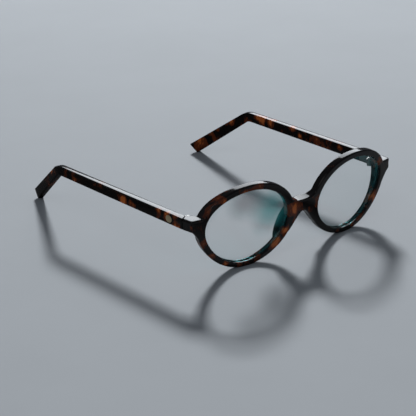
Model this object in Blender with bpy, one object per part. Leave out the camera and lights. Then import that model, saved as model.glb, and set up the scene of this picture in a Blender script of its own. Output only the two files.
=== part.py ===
"""Reading glasses with a moulded-look acetate front and two folding temples.

The front is shaped flat, as it would be milled from a sheet: two oval rims with a
lens groove, a saddle bridge and two endpieces. It is then bent round the face and
leaned forward. Each temple is one bar with a cranked ear end, a metal core wire, a
five-knuckle hinge and a small oval inlay.

The wearer looks along -Y. The wearer's left is +X. The glasses stand on their two
rims and on the tips of the temples, on the plane z = 0.
"""

from math import asin, atan2, cos, hypot, pi, radians, sin, sqrt, tan

import bmesh
import bpy
from mathutils import Matrix, Vector

# Front as a whole. Its width follows from the openings, the nose gap and the endpieces.
FRONT_CURVE_RADIUS = 0.2990
FRONT_LEAN = radians(7.0)
NOSE_GAP = 0.0202
ENDPIECE_OUT = 0.0084
REST_FLAT = 0.00010

# Lens opening. The shares bend a plain oval into the photographed outline.
EYE_WIDTH = 0.0480
EYE_HEIGHT = 0.0379
EYE_LEAN_SHARE = -0.009
EYE_CROWN_SHARE = 0.0243
EYE_CORNER_SHARE = 0.0061
EYE_TURN_SHARE = -0.0082
EYE_STEPS = 84

# Rim section, measured out from the opening and back from the front face
RIM_WIDTH = 0.0034
RIM_SIDE_SWELL = 0.0005
RIM_NOSE_SWELL = 0.0002
RIM_TOP_SWELL = 0.0003
RIM_DEPTH = 0.0041
RIM_EDGE = 0.00070
RIM_LIP = 0.00040
TEMPLE_SIDE_SWELL = 0.0020
TEMPLE_SIDE_ANGLE = radians(162.0)
GROOVE_DEPTH = 0.00070
GROOVE_HALF_WIDTH = 0.00065
GROOVE_PLACE = 0.0020

# Bridge
BRIDGE_TOP = 0.0056
BRIDGE_TOP_RISE = 0.00376
BRIDGE_THICKNESS = 0.0059
BRIDGE_ARCH_DROP = 0.01056
BRIDGE_ARCH_ROUND_SHARE = 0.435
BRIDGE_END_LIFT = 0.00125
BRIDGE_SET_IN = 0.0009
BRIDGE_STEPS = 16

# Endpieces
ENDPIECE_RISE = 0.0058
ENDPIECE_HEIGHT = 0.0060
ENDPIECE_CORNER = 0.0020
ENDPIECE_EDGE = 0.00080
ENDPIECE_THICKNESS = 0.0041
ENDPIECE_RUN = 0.0059
ENDPIECE_ROOT = 0.0071
ENDPIECE_BACK_RUN = 0.0027
MITRE_RUN = 0.0024
FLARE_DROP = 0.0058
FLARE_REACH = 0.0051
FLARE_STEPS = 6
SEAM_GAP = 0.00015

# Nose pads
PAD_ANGLE = radians(-16.4)
PAD_INSET = 0.00055
PAD_THICKNESS = 0.0026
PAD_LENGTH = 0.0204
PAD_PROJECTION = 0.0035
PAD_SPLAY = radians(6.0)
PAD_GAP = 0.00020
PAD_SIDES = 28
PAD_LEVELS = 18

# Lenses
LENS_EDGE = 0.0021
LENS_FRONT_SAG = 0.0013
LENS_BACK_SAG = 0.0009
LENS_GAP = 0.00015
LENS_RINGS = 4

# Temples
TEMPLE_LENGTH = 0.1480
TEMPLE_BEND = 0.1004
TEMPLE_FRONT_HEIGHT = 0.0057
TEMPLE_BEND_HEIGHT = 0.0051
TEMPLE_TIP_HEIGHT = 0.0064
TEMPLE_FRONT_THICKNESS = 0.0041
TEMPLE_BEND_THICKNESS = 0.0034
TEMPLE_TIP_THICKNESS = 0.0031
TEMPLE_FALL = radians(0.1)
TEMPLE_EDGE = 0.00085
TEMPLE_INNER_EDGE = 0.00045
TEMPLE_TIP_EDGE = 0.00050
EAR_RADIUS = 0.0062
EAR_DROP = radians(33.3)
EAR_TURN = radians(14.8)
EAR_STEPS = 8
TIP_SLANT = radians(16.0)

# Core wire and its bore
WIRE_RADIUS = 0.00060
WIRE_GAP = 0.00015
WIRE_SET_IN = 0.0026
WIRE_OFFSET = 0.00035
WIRE_TIP_MARGIN = 0.0120
WIRE_SIDES = 8

# Hinge
HINGE_INSET = 0.0018
HINGE_BACK = 0.0007
HINGE_DROP = 0.00035
KNUCKLE_RADIUS = 0.00145
KNUCKLE_HEIGHT = 0.00072
KNUCKLE_GAP = 0.00006
KNUCKLE_COUNT = 5
KNUCKLE_SIDES = 24
PIN_RADIUS = 0.00058
PIN_CLEARANCE = 0.00006
HEAD_RADIUS = 0.00105
HEAD_HEIGHT = 0.00042
HEAD_SLOT = 0.00030
LEAF_THICKNESS = 0.00090
LEAF_LENGTH = 0.0095
LEAF_FRONT_LENGTH = 0.0032
LEAF_WEB = 0.0015
LEAF_EDGE = 0.00020
LEAF_GAP = 0.00012
LEAF_SET_BACK = 0.00008
WEB_SET_BACK = 0.00003
PIN_SIDES = 20

# Inlay on the outer face of each temple
INLAY_HEIGHT = 0.0040
INLAY_LENGTH = 0.0031
INLAY_DEPTH = 0.00055
INLAY_PROUD = 0.00015
INLAY_PLACE = 0.0073
INLAY_SIDES = 28

# Small sizes that several cuts share
OVERRUN = 0.0010
MERGE = 0.0000005
CORNER_STEPS = 3
SOLVE_STEPS = 50
SMOOTH_ANGLE = radians(30.0)

LENS_SPACING = EYE_WIDTH + NOSE_GAP
FRONT_WIDTH = LENS_SPACING + EYE_WIDTH + 2 * ENDPIECE_OUT
HALF_WIDTH = FRONT_WIDTH / 2
BRIDGE_HALF = NOSE_GAP / 2 - BRIDGE_SET_IN
HINGE_X = HALF_WIDTH - TEMPLE_FRONT_THICKNESS - HINGE_INSET
STACK_HEIGHT = KNUCKLE_COUNT * KNUCKLE_HEIGHT + (KNUCKLE_COUNT - 1) * KNUCKLE_GAP
SIDES = {"right": -1, "left": 1}

COLOURS = {
    "acetate": ((0.035, 0.014, 0.007), 0.10, 0.0),
    "lens": ((0.90, 0.97, 0.96), 0.03, 0.0),
    "steel": ((0.62, 0.61, 0.58), 0.25, 1.0),
    "gold": ((0.78, 0.62, 0.38), 0.22, 1.0),
}


def clear_scene():
    """Remove every object that the scene holds."""
    for item in list(bpy.data.objects):
        bpy.data.objects.remove(item, do_unlink=True)


def material(name):
    """Return the named material, and make it on its first use."""
    found = bpy.data.materials.get(name)
    if found:
        return found
    colour, roughness, metallic = COLOURS[name]
    made = bpy.data.materials.new(name)
    made.use_nodes = True
    shader = made.node_tree.nodes["Principled BSDF"]
    shader.inputs["Base Color"].default_value = (*colour, 1.0)
    shader.inputs["Roughness"].default_value = roughness
    shader.inputs["Metallic"].default_value = metallic
    if name == "lens":
        shader.inputs["Transmission Weight"].default_value = 1.0
    return made


def finish(bm, name, slot, parent=None, flat=False):
    """Turn a bmesh into an object, under a pivot if there is one.

    A shape that isn't flat any more moves so that the origin lies under the middle of the glasses.
    """
    bmesh.ops.remove_doubles(bm, verts=bm.verts, dist=MERGE)
    bmesh.ops.recalc_face_normals(bm, faces=bm.faces)
    mesh = bpy.data.meshes.new(name)
    if not flat:
        bmesh.ops.translate(bm, verts=bm.verts, vec=(0, -MIDDLE_Y, 0))
    if parent:
        bmesh.ops.translate(bm, verts=bm.verts, vec=-parent.location)
    bm.to_mesh(mesh)
    bm.free()
    mesh.materials.append(material(slot))
    mesh.shade_smooth()
    mesh.set_sharp_from_angle(angle=SMOOTH_ANGLE)
    item = bpy.data.objects.new(name, mesh)
    bpy.context.collection.objects.link(item)
    if parent:
        item.parent = parent
    return item


def as_cutter(item):
    """Keep a helper shape out of the model."""
    item.hide_render = True
    item.display_type = "WIRE"
    return item


def boolean(item, other, operation):
    """Add a Boolean that uses a helper shape."""
    as_cutter(other)
    modifier = item.modifiers.new(other.name, "BOOLEAN")
    modifier.operation = operation
    modifier.solver = "EXACT"
    modifier.object = other


def loft(rings, closed=False):
    """Join rings of points, given in order, into one closed skin."""
    bm = bmesh.new()
    rows = [[bm.verts.new(point) for point in ring] for ring in rings]
    pairs = list(zip(rows[:-1], rows[1:]))
    if closed:
        pairs.append((rows[-1], rows[0]))
    for low, high in pairs:
        for index in range(len(low)):
            after = (index + 1) % len(low)
            bm.faces.new((low[index], low[after], high[after], high[index]))
    if not closed:
        bm.faces.new(rows[0])
        bm.faces.new(rows[-1])
    return bm


def mirrored(points, side):
    """Move points made for the +X side to the given side."""
    return [Vector((side * point[0], point[1], point[2])) for point in points]


def round_corner(centre, radius, start, end, steps):
    """Return points on an arc in a flat section."""
    turns = [start + (end - start) * step / steps for step in range(steps + 1)]
    return [(centre[0] + radius * cos(turn), centre[1] + radius * sin(turn)) for turn in turns]


def eye_point(angle):
    """Return a point of the lens opening from its middle. Angle 0 is the nose side."""
    reach = 1 + EYE_LEAN_SHARE * sin(2 * angle) + EYE_CROWN_SHARE * sin(3 * angle)
    reach += EYE_CORNER_SHARE * cos(4 * angle) + EYE_TURN_SHARE * sin(4 * angle)
    return Vector((EYE_WIDTH / 2 * cos(angle) * reach, EYE_HEIGHT / 2 * sin(angle) * reach))


def eye_offset(angle, out):
    """Return a point at a distance outside the lens opening."""
    step = pi / EYE_STEPS
    along = eye_point(angle + step) - eye_point(angle - step)
    outward = Vector((along.y, -along.x)).normalized()
    return eye_point(angle) + outward * out


def eye_angles():
    return [2 * pi * step / EYE_STEPS for step in range(EYE_STEPS)]


def rim_width(angle):
    """Return the rim's width at an angle round the opening."""
    width = RIM_WIDTH + RIM_SIDE_SWELL * cos(2 * angle)
    return width + RIM_NOSE_SWELL * cos(angle) + RIM_TOP_SWELL * sin(angle)


EYE_HEIGHT_PLACE = -min(eye_offset(angle, rim_width(angle)).y for angle in eye_angles())


def bend(x, up, back):
    """Bend a flat place of the front round the face, and lean it forward."""
    turn = x / FRONT_CURVE_RADIUS
    reach = FRONT_CURVE_RADIUS - back
    out = reach * sin(turn)
    sweep = FRONT_CURVE_RADIUS - reach * cos(turn)
    y = sweep * cos(FRONT_LEAN) - up * sin(FRONT_LEAN)
    z = sweep * sin(FRONT_LEAN) + up * cos(FRONT_LEAN)
    return Vector((out, y, z - SETTLE))


def unbend(out, y, z):
    """Return the flat place that bend() moves to a world place."""
    z = z + SETTLE
    sweep = y * cos(FRONT_LEAN) + z * sin(FRONT_LEAN)
    up = z * cos(FRONT_LEAN) - y * sin(FRONT_LEAN)
    reach = hypot(out, FRONT_CURVE_RADIUS - sweep)
    turn = atan2(out, FRONT_CURVE_RADIUS - sweep)
    return Vector((turn * FRONT_CURVE_RADIUS, up, FRONT_CURVE_RADIUS - reach))


def on_eye(side, angle, out, back):
    """Return the flat place at a distance out from one lens opening and back from the front."""
    place = eye_offset(angle, out)
    return Vector((side * (LENS_SPACING / 2 - place.x), EYE_HEIGHT_PLACE + place.y, back))


SETTLE = 0.0
SETTLE = min(bend(*on_eye(1, angle, rim_width(angle), RIM_EDGE)).z for angle in eye_angles()) + REST_FLAT

# Where the front's corner lies decides where the temples and their hinges lie.
CORNER = bend(FRONT_CURVE_RADIUS * asin(HALF_WIDTH / FRONT_CURVE_RADIUS), EYE_HEIGHT_PLACE + ENDPIECE_RISE, 0)
BAR_HEIGHT = CORNER.z
ENDPIECE_TOP = BAR_HEIGHT + ENDPIECE_HEIGHT / 2
ENDPIECE_BOTTOM = BAR_HEIGHT - ENDPIECE_HEIGHT / 2
ENDPIECE_REACH = CORNER.y + ENDPIECE_RUN
HINGE_HEIGHT = BAR_HEIGHT - HINGE_DROP
HINGE_Y = ENDPIECE_REACH + MITRE_RUN + HINGE_BACK


def rim_section(width, depth):
    """Return the rim's section as (out, back) points, with the groove for the lens."""
    edge = RIM_EDGE
    lip = RIM_LIP
    quarter = pi / 2
    points = [(0.0, lip), (lip, 0.0)]
    points += round_corner((width - edge, edge), edge, -quarter, 0.0, CORNER_STEPS)
    points += round_corner((width - edge, depth - edge), edge, 0.0, quarter, CORNER_STEPS)
    points += [(lip, depth), (0.0, depth - lip)]
    points.append((0.0, GROOVE_PLACE + GROOVE_HALF_WIDTH))
    points.append((GROOVE_DEPTH, GROOVE_PLACE))
    points.append((0.0, GROOVE_PLACE - GROOVE_HALF_WIDTH))
    return points


def rim_rings(side):
    """Return the rim as rings of flat places, one at each step round the opening."""
    rings = []
    for angle in eye_angles():
        depth = RIM_DEPTH + TEMPLE_SIDE_SWELL * max(0.0, cos(angle - TEMPLE_SIDE_ANGLE)) ** 4
        section = rim_section(rim_width(angle), depth)
        rings.append([on_eye(side, angle, out, back) for out, back in section])
    return rings


def edged_section(low, high, depth, edge):
    """Return a rounded upright section as (up, back) points."""
    quarter = pi / 2
    points = round_corner((low + edge, edge), edge, 3 * quarter, 2 * quarter, CORNER_STEPS)
    points += round_corner((low + edge, depth - edge), edge, 2 * quarter, quarter, CORNER_STEPS)
    points += round_corner((high - edge, depth - edge), edge, quarter, 0.0, CORNER_STEPS)
    points += round_corner((high - edge, edge), edge, 0.0, -quarter, CORNER_STEPS)
    return points


def bridge_rings():
    """Return the saddle bridge, from rim to rim."""
    rings = []
    for step in range(BRIDGE_STEPS + 1):
        share = 2 * step / BRIDGE_STEPS - 1
        middle = EYE_HEIGHT_PLACE + BRIDGE_TOP
        top = middle + BRIDGE_TOP_RISE * share ** 2
        soft = BRIDGE_ARCH_ROUND_SHARE
        arch = (hypot(share, soft) - soft) / (hypot(1, soft) - soft)
        under = middle - BRIDGE_THICKNESS - BRIDGE_ARCH_DROP * arch
        under += BRIDGE_END_LIFT * share ** 6
        section = edged_section(under, top, RIM_DEPTH, RIM_EDGE)
        rings.append([Vector((BRIDGE_HALF * share, up, back)) for up, back in section])
    return rings


def flare_rings(side):
    """Return the curved web under an endpiece, where it runs out of the rim."""
    outer = unbend(HALF_WIDTH, CORNER.y, ENDPIECE_BOTTOM)
    top = outer.y + ENDPIECE_HEIGHT / 2
    rings = []
    for step in range(FLARE_STEPS + 1):
        run = FLARE_REACH * step / FLARE_STEPS + RIM_EDGE
        low = outer.y - FLARE_DROP * ((run - RIM_EDGE) / FLARE_REACH) ** 1.5
        section = edged_section(low, top, RIM_DEPTH, RIM_EDGE)
        rings.append([Vector((side * (outer.x - run), up, back)) for up, back in section])
    return rings


def endpiece_ring(side, z, inset):
    """Return one level of an endpiece as flat places. The inset rounds its outer edges."""
    corner = ENDPIECE_CORNER
    seam_slope = MITRE_RUN / ENDPIECE_THICKNESS
    inner = HALF_WIDTH - ENDPIECE_THICKNESS
    root = inner - ENDPIECE_BACK_RUN
    back = ENDPIECE_REACH + MITRE_RUN
    level = unbend(HALF_WIDTH, CORNER.y, z)
    front = []
    arc = round_corner((level.x - corner, corner), corner - inset, -pi / 2, 0.0, 4)
    for x, depth in [(level.x - ENDPIECE_ROOT, inset)] + arc:
        front.append(bend(x, level.y, depth))
    for point in front:
        point.z = z
    seam = [(HALF_WIDTH - inset, ENDPIECE_REACH + inset * seam_slope), (inner, back)]
    seam += [(root, back - MITRE_RUN), (root - RIM_EDGE, back - 2 * MITRE_RUN)]
    ring = [unbend(*point) for point in front]
    ring += [unbend(x, y, z) for x, y in seam]
    return mirrored(ring, side)


def endpiece_rings(side):
    """Return an endpiece as levels from its underside to its top."""
    edge = ENDPIECE_EDGE
    soft = edge * (1 - sqrt(0.5))
    low = ENDPIECE_BOTTOM
    high = ENDPIECE_TOP
    levels = [(low, edge), (low + soft, soft), (low + edge, 0.0)]
    levels += [(high - edge, 0.0), (high - soft, soft), (high, edge)]
    return [endpiece_ring(side, z, inset) for z, inset in levels]


def bend_mesh(item):
    """Return a copy of an evaluated flat mesh, bent round the face."""
    graph = bpy.context.evaluated_depsgraph_get()
    bm = bmesh.new()
    bm.from_mesh(bpy.data.meshes.new_from_object(item.evaluated_get(graph)))
    for vert in bm.verts:
        vert.co = bend(*vert.co)
    return bm


def make_front():
    """Shape the front flat, bend it, and let in the hinge leaves."""
    flat = finish(loft(rim_rings(1), closed=True), "flat_front", "acetate", flat=True)
    extras = {
        "flat_rim": loft(rim_rings(-1), closed=True),
        "flat_bridge": loft(bridge_rings()),
    }
    for name, side in SIDES.items():
        extras["flat_flare_" + name] = loft(flare_rings(side))
        extras["flat_endpiece_" + name] = loft(endpiece_rings(side))
    for name, bm in extras.items():
        boolean(flat, finish(bm, name, "acetate", flat=True), "UNION")
    front = finish(bend_mesh(flat), "front_frame", "acetate")
    as_cutter(flat)
    for name, side in SIDES.items():
        boolean(front, leaf_recess_front(name, side), "DIFFERENCE")
    boolean(front, floor_cutter("floor_under_front"), "DIFFERENCE")
    return front


def block(name, places, slot="steel", parent=None):
    """Return a six-sided block from its four lower and four upper corners."""
    return finish(loft([places[:4], places[4:]]), name, slot, parent)


def box_places(low, high):
    """Return the eight corners of an upright box."""
    plan = [(low[0], low[1]), (high[0], low[1]), (high[0], high[1]), (low[0], high[1])]
    return [Vector((x, y, low[2])) for x, y in plan] + [Vector((x, y, high[2])) for x, y in plan]


def floor_cutter(name):
    """Return a slab whose top is the plane that the glasses stand on."""
    reach = TEMPLE_LENGTH + FRONT_WIDTH
    return block(name, box_places((-reach, -reach, -FRONT_WIDTH), (reach, reach, 0.0)))


def prism(plan, low, high):
    """Return a bmesh that stands on a plan outline between two heights."""
    lower = [Vector((x, y, low)) for x, y in plan]
    upper = [Vector((x, y, high)) for x, y in plan]
    return loft([lower, upper])


def tube(centre, radius, low, high, sides):
    """Return an upright round bar."""
    plan = [(centre[0] + radius * cos(2 * pi * step / sides), centre[1] + radius * sin(2 * pi * step / sides))
            for step in range(sides)]
    return prism(plan, low, high)


def leaf_axes():
    """Return the back face of an endpiece at the hinge: its foot point, its run and its normal."""
    inner = HALF_WIDTH - ENDPIECE_THICKNESS
    start = Vector((inner, ENDPIECE_REACH + MITRE_RUN))
    run = Vector((-ENDPIECE_BACK_RUN, -MITRE_RUN)).normalized()
    normal = Vector((run.y, -run.x))
    pivot = Vector((HINGE_X, HINGE_Y))
    foot = start + run * (pivot - start).dot(run)
    if (pivot - foot).dot(normal) < 0:
        normal = -normal
    return foot, run, normal, pivot


def front_leaf_plan(grow):
    """Return the plan of the leaf that is sunk in an endpiece."""
    foot, run, normal, _ = leaf_axes()
    start = -LEAF_WEB / 2 - grow
    end = LEAF_FRONT_LENGTH - LEAF_WEB / 2 + grow
    out = OVERRUN if grow else 0.0
    deep = LEAF_THICKNESS + grow
    corners = [(start, out), (end, out), (end, -deep), (start, -deep)]
    return [foot + run * along + normal * off for along, off in corners]


def leaf_recess_front(name, side):
    """Return the pocket for the leaf in an endpiece."""
    half = STACK_HEIGHT / 2 + LEAF_GAP
    plan = [(side * point.x, point.y) for point in front_leaf_plan(LEAF_GAP)]
    bm = prism(plan, HINGE_HEIGHT - half, HINGE_HEIGHT + half)
    return finish(bm, "pocket_front_" + name, "steel")


def knuckle_levels(first):
    """Return the heights of every second knuckle, from the first or the second one up."""
    base = HINGE_HEIGHT - STACK_HEIGHT / 2
    step = KNUCKLE_HEIGHT + KNUCKLE_GAP
    return [(base + index * step, base + index * step + KNUCKLE_HEIGHT)
            for index in range(first, KNUCKLE_COUNT, 2)]


def add_knuckles(leaf, name, side, levels, web_plan, parent):
    """Join knuckles and their webs to a leaf, and bore them for the screw."""
    centre = (side * HINGE_X, HINGE_Y)
    for index, (low, high) in enumerate(levels):
        web = [(side * x, y) for x, y in web_plan]
        label = f"{name}_{index}"
        bar = prism(web, low + WEB_SET_BACK, high - WEB_SET_BACK)
        boolean(leaf, finish(bar, "web_" + label, "steel", parent), "UNION")
        knuckle = tube(centre, KNUCKLE_RADIUS, low, high, KNUCKLE_SIDES)
        boolean(leaf, finish(knuckle, "knuckle_" + label, "steel", parent), "UNION")
    half = STACK_HEIGHT / 2 + OVERRUN
    bore = tube(centre, PIN_RADIUS + PIN_CLEARANCE, HINGE_HEIGHT - half, HINGE_HEIGHT + half, PIN_SIDES)
    boolean(leaf, finish(bore, "bore_" + name, "steel", parent), "DIFFERENCE")


def make_front_leaf(name, side):
    """Make the hinge leaf with three knuckles, sunk in the endpiece."""
    half = STACK_HEIGHT / 2 - LEAF_SET_BACK
    plan = [(side * point.x, point.y) for point in front_leaf_plan(0.0)]
    node = f"hinge_{name}_front_leaf"
    leaf = finish(prism(plan, HINGE_HEIGHT - half, HINGE_HEIGHT + half), node, "steel")
    foot, run, normal, pivot = leaf_axes()
    wide = run * (LEAF_WEB / 2 - WEB_SET_BACK)
    deep = normal * LEAF_THICKNESS / 2
    web = [foot - deep - wide, pivot - wide, pivot + wide, foot - deep + wide]
    add_knuckles(leaf, node, side, knuckle_levels(0), web, None)


def make_temple_leaf(name, side, pivot):
    """Make the hinge leaf with two knuckles, sunk in the inner face of the temple."""
    half = STACK_HEIGHT / 2 - LEAF_SET_BACK
    face = HALF_WIDTH - TEMPLE_FRONT_THICKNESS
    plan = [(face, HINGE_Y), (face + LEAF_THICKNESS, HINGE_Y)]
    plan += [(face + LEAF_THICKNESS, HINGE_Y + LEAF_LENGTH), (face, HINGE_Y + LEAF_LENGTH)]
    node = f"hinge_{name}_temple_leaf"
    mirrored_plan = [(side * x, y) for x, y in plan]
    bm = prism(mirrored_plan, HINGE_HEIGHT - half, HINGE_HEIGHT + half)
    leaf = finish(bm, node, "steel", pivot)
    inside = face + LEAF_THICKNESS / 2
    near = HINGE_Y + WEB_SET_BACK
    far = HINGE_Y + KNUCKLE_RADIUS - WEB_SET_BACK
    web = [(HINGE_X, near), (inside, near), (inside, far), (HINGE_X, far)]
    add_knuckles(leaf, node, side, knuckle_levels(1), web, pivot)


def make_screw(name, side):
    """Make the hinge screw, with its slotted head on top of the knuckles."""
    centre = (side * HINGE_X, HINGE_Y)
    half = STACK_HEIGHT / 2
    top = HINGE_HEIGHT + half + KNUCKLE_GAP
    node = f"hinge_{name}_screw"
    screw = finish(tube(centre, PIN_RADIUS, HINGE_HEIGHT - half, top + HEAD_HEIGHT / 2, PIN_SIDES), node, "steel")
    head = tube(centre, HEAD_RADIUS, top, top + HEAD_HEIGHT, PIN_SIDES)
    boolean(screw, finish(head, "head_" + name, "steel"), "UNION")
    low = (centre[0] - HEAD_SLOT / 2, centre[1] - HEAD_RADIUS - OVERRUN, top + HEAD_HEIGHT / 2)
    high = (centre[0] + HEAD_SLOT / 2, centre[1] + HEAD_RADIUS + OVERRUN, top + HEAD_HEIGHT + OVERRUN)
    boolean(screw, block("slot_" + name, box_places(low, high)), "DIFFERENCE")


def temple_path(run):
    """Return the middle of a temple at a distance behind its hinge, and its three directions.

    The middle is given for a bar of no thickness whose outer face lies at the half width.
    """
    fall = TEMPLE_FALL
    arc = EAR_RADIUS * (EAR_DROP - fall)
    lead = EAR_RADIUS * tan((EAR_DROP - fall) / 2)
    place = Vector((HALF_WIDTH, HINGE_Y, BAR_HEIGHT))
    flat_run = TEMPLE_BEND - lead
    ahead = min(run, flat_run)
    place += Vector((0, cos(fall), -sin(fall))) * ahead
    part = min(max(run - flat_run, 0.0), arc) / arc
    count = EAR_STEPS * 2
    stride = arc * part / count
    for step in range(count):
        middle = part * (step + 0.5) / count
        place += path_direction(fall + (EAR_DROP - fall) * middle, EAR_TURN * middle) * stride
    drop = fall + (EAR_DROP - fall) * part
    turn = EAR_TURN * part
    forward = path_direction(drop, turn)
    place += forward * max(run - flat_run - arc, 0.0)
    out = Vector((cos(turn), sin(turn), 0))
    return place, forward, out, out.cross(forward)


def path_direction(drop, turn):
    """Return the way a temple runs, for its fall below level and its turn inwards."""
    return Vector((-sin(turn) * cos(drop), cos(turn) * cos(drop), -sin(drop)))


def temple_size(run):
    """Return a temple's height and thickness at a distance behind its hinge."""
    if run < TEMPLE_BEND:
        share = max(run, 0.0) / TEMPLE_BEND
        height = TEMPLE_FRONT_HEIGHT + (TEMPLE_BEND_HEIGHT - TEMPLE_FRONT_HEIGHT) * share
        thickness = TEMPLE_FRONT_THICKNESS + (TEMPLE_BEND_THICKNESS - TEMPLE_FRONT_THICKNESS) * share
        return height, thickness
    share = (run - TEMPLE_BEND) / (TEMPLE_LENGTH - TEMPLE_BEND)
    height = TEMPLE_BEND_HEIGHT + (TEMPLE_TIP_HEIGHT - TEMPLE_BEND_HEIGHT) * share
    thickness = TEMPLE_BEND_THICKNESS + (TEMPLE_TIP_THICKNESS - TEMPLE_BEND_THICKNESS) * share
    return height, thickness


def temple_section(height, thickness, trim=0.0):
    """Return a temple's section as (in, up) points, its outer face at 0."""
    half = height / 2 - trim
    outer = TEMPLE_EDGE
    inner = TEMPLE_INNER_EDGE
    quarter = pi / 2
    points = [(trim, half - outer), (trim, outer - half)]
    points += [(outer, -half)]
    points += round_corner((thickness - trim - inner, inner - half), inner, -quarter, 0.0, 2)
    points += round_corner((thickness - trim - inner, half - inner), inner, 0.0, quarter, 2)
    points += [(outer, half)]
    return points


def temple_ring(run, trim=0.0, slant=0.0):
    """Return one ring of a temple, for the +X side."""
    place, forward, out, up = temple_path(run)
    height, thickness = temple_size(run)
    section = temple_section(height, thickness, trim)
    return [place - out * inward + up * lift + forward * lift * slant for inward, lift in section]


def temple_rings():
    """Return a temple from its mitred front end to its slanted tip."""
    height, thickness = temple_size(0.0)
    slope = MITRE_RUN / ENDPIECE_THICKNESS
    first = []
    for inward, lift in temple_section(height, thickness):
        y = ENDPIECE_REACH + inward * slope + SEAM_GAP
        first.append(Vector((HALF_WIDTH - inward, y, BAR_HEIGHT + lift)))
    arc = EAR_RADIUS * (EAR_DROP - TEMPLE_FALL)
    start = TEMPLE_BEND - EAR_RADIUS * tan((EAR_DROP - TEMPLE_FALL) / 2)
    runs = [TEMPLE_BEND / 2]
    runs += [start + arc * step / EAR_STEPS for step in range(EAR_STEPS + 1)]
    tail = TIP_RUN - TEMPLE_TIP_EDGE
    runs.append((runs[-1] + tail) / 2)
    rings = [first] + [temple_ring(run) for run in runs]
    rings.append(temple_ring(tail, slant=tan(TIP_SLANT)))
    rings.append(temple_ring(TIP_RUN, trim=TEMPLE_TIP_EDGE, slant=tan(TIP_SLANT)))
    return rings


def tip_run():
    """Return how far behind the hinge a temple's slanted tip meets the floor."""
    low = TEMPLE_BEND
    high = TEMPLE_LENGTH * 2
    for _ in range(SOLVE_STEPS):
        middle = (low + high) / 2
        lowest = min(point.z for point in temple_ring(middle, slant=tan(TIP_SLANT)))
        if lowest > -REST_FLAT:
            low = middle
        else:
            high = middle
    return low + TEMPLE_TIP_EDGE


def middle_y():
    """Return how far the middle of the whole length lies behind the front."""
    foremost = min(bend(*on_eye(1, angle, rim_width(angle), 0)).y for angle in eye_angles())
    rearmost = max(point.y for point in temple_ring(TIP_RUN, TEMPLE_TIP_EDGE, tan(TIP_SLANT)))
    return (foremost + rearmost) / 2


TIP_RUN = tip_run()
MIDDLE_Y = middle_y()


def wire_rings(radius, start, end):
    """Return a round bar along the middle of a temple, for the +X side."""
    arc_start = TEMPLE_BEND - EAR_RADIUS * tan((EAR_DROP - TEMPLE_FALL) / 2)
    arc = EAR_RADIUS * (EAR_DROP - TEMPLE_FALL)
    runs = [start] + [arc_start + arc * step / EAR_STEPS for step in range(EAR_STEPS + 1)] + [end]
    rings = []
    for run in runs:
        place, _, out, up = temple_path(run)
        middle = place - out * (temple_size(run)[1] / 2 - WIRE_OFFSET)
        turns = [2 * pi * step / WIRE_SIDES for step in range(WIRE_SIDES)]
        rings.append([middle + out * radius * cos(turn) + up * radius * sin(turn) for turn in turns])
    return rings


def make_temple(name, side, pivot):
    """Make a temple with its pockets and its bore, and what sits in them."""
    rings = [mirrored(ring, side) for ring in temple_rings()]
    temple = finish(loft(rings), "temple_" + name, "acetate", pivot)

    end = TIP_RUN - WIRE_TIP_MARGIN
    bore = [mirrored(ring, side) for ring in wire_rings(WIRE_RADIUS + WIRE_GAP, -HINGE_BACK - MITRE_RUN - OVERRUN, end)]
    boolean(temple, finish(loft(bore), "wire_bore_" + name, "steel", pivot), "DIFFERENCE")
    wire = [mirrored(ring, side) for ring in wire_rings(WIRE_RADIUS, WIRE_SET_IN - HINGE_BACK, end - WIRE_GAP)]
    finish(loft(wire), "core_wire_" + name, "steel", pivot)

    half = STACK_HEIGHT / 2 + LEAF_GAP
    face = HALF_WIDTH - TEMPLE_FRONT_THICKNESS
    low_x = face - OVERRUN
    high_x = face + LEAF_THICKNESS + LEAF_GAP
    plan = [(low_x, ENDPIECE_REACH), (high_x, ENDPIECE_REACH)]
    plan += [(high_x, HINGE_Y + LEAF_LENGTH + LEAF_GAP), (low_x, HINGE_Y + LEAF_LENGTH + LEAF_GAP)]
    pocket = prism([(side * x, y) for x, y in plan], HINGE_HEIGHT - half, HINGE_HEIGHT + half)
    boolean(temple, finish(pocket, "pocket_temple_" + name, "steel", pivot), "DIFFERENCE")

    pocket = inlay_shape(side, LEAF_GAP, INLAY_DEPTH + LEAF_GAP, OVERRUN)
    boolean(temple, finish(pocket, "inlay_pocket_" + name, "steel", pivot), "DIFFERENCE")
    finish(inlay_shape(side, 0.0, INLAY_DEPTH, INLAY_PROUD), "inlay_" + name, "gold", pivot)
    boolean(temple, floor_cutter("floor_under_temple_" + name), "DIFFERENCE")


def inlay_shape(side, grow, deep, proud):
    """Return an oval button on the outer face of a temple."""
    place, forward, _, up = temple_path(INLAY_PLACE)
    rings = []
    for x in (place.x - deep, place.x + proud):
        ring = []
        for step in range(INLAY_SIDES):
            turn = 2 * pi * step / INLAY_SIDES
            along = (INLAY_LENGTH / 2 + grow) * cos(turn)
            lift = (INLAY_HEIGHT / 2 + grow) * sin(turn)
            point = place + forward * along + up * lift
            ring.append(Vector((x, point.y, point.z)))
        rings.append(mirrored(ring, side))
    return loft(rings)


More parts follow.
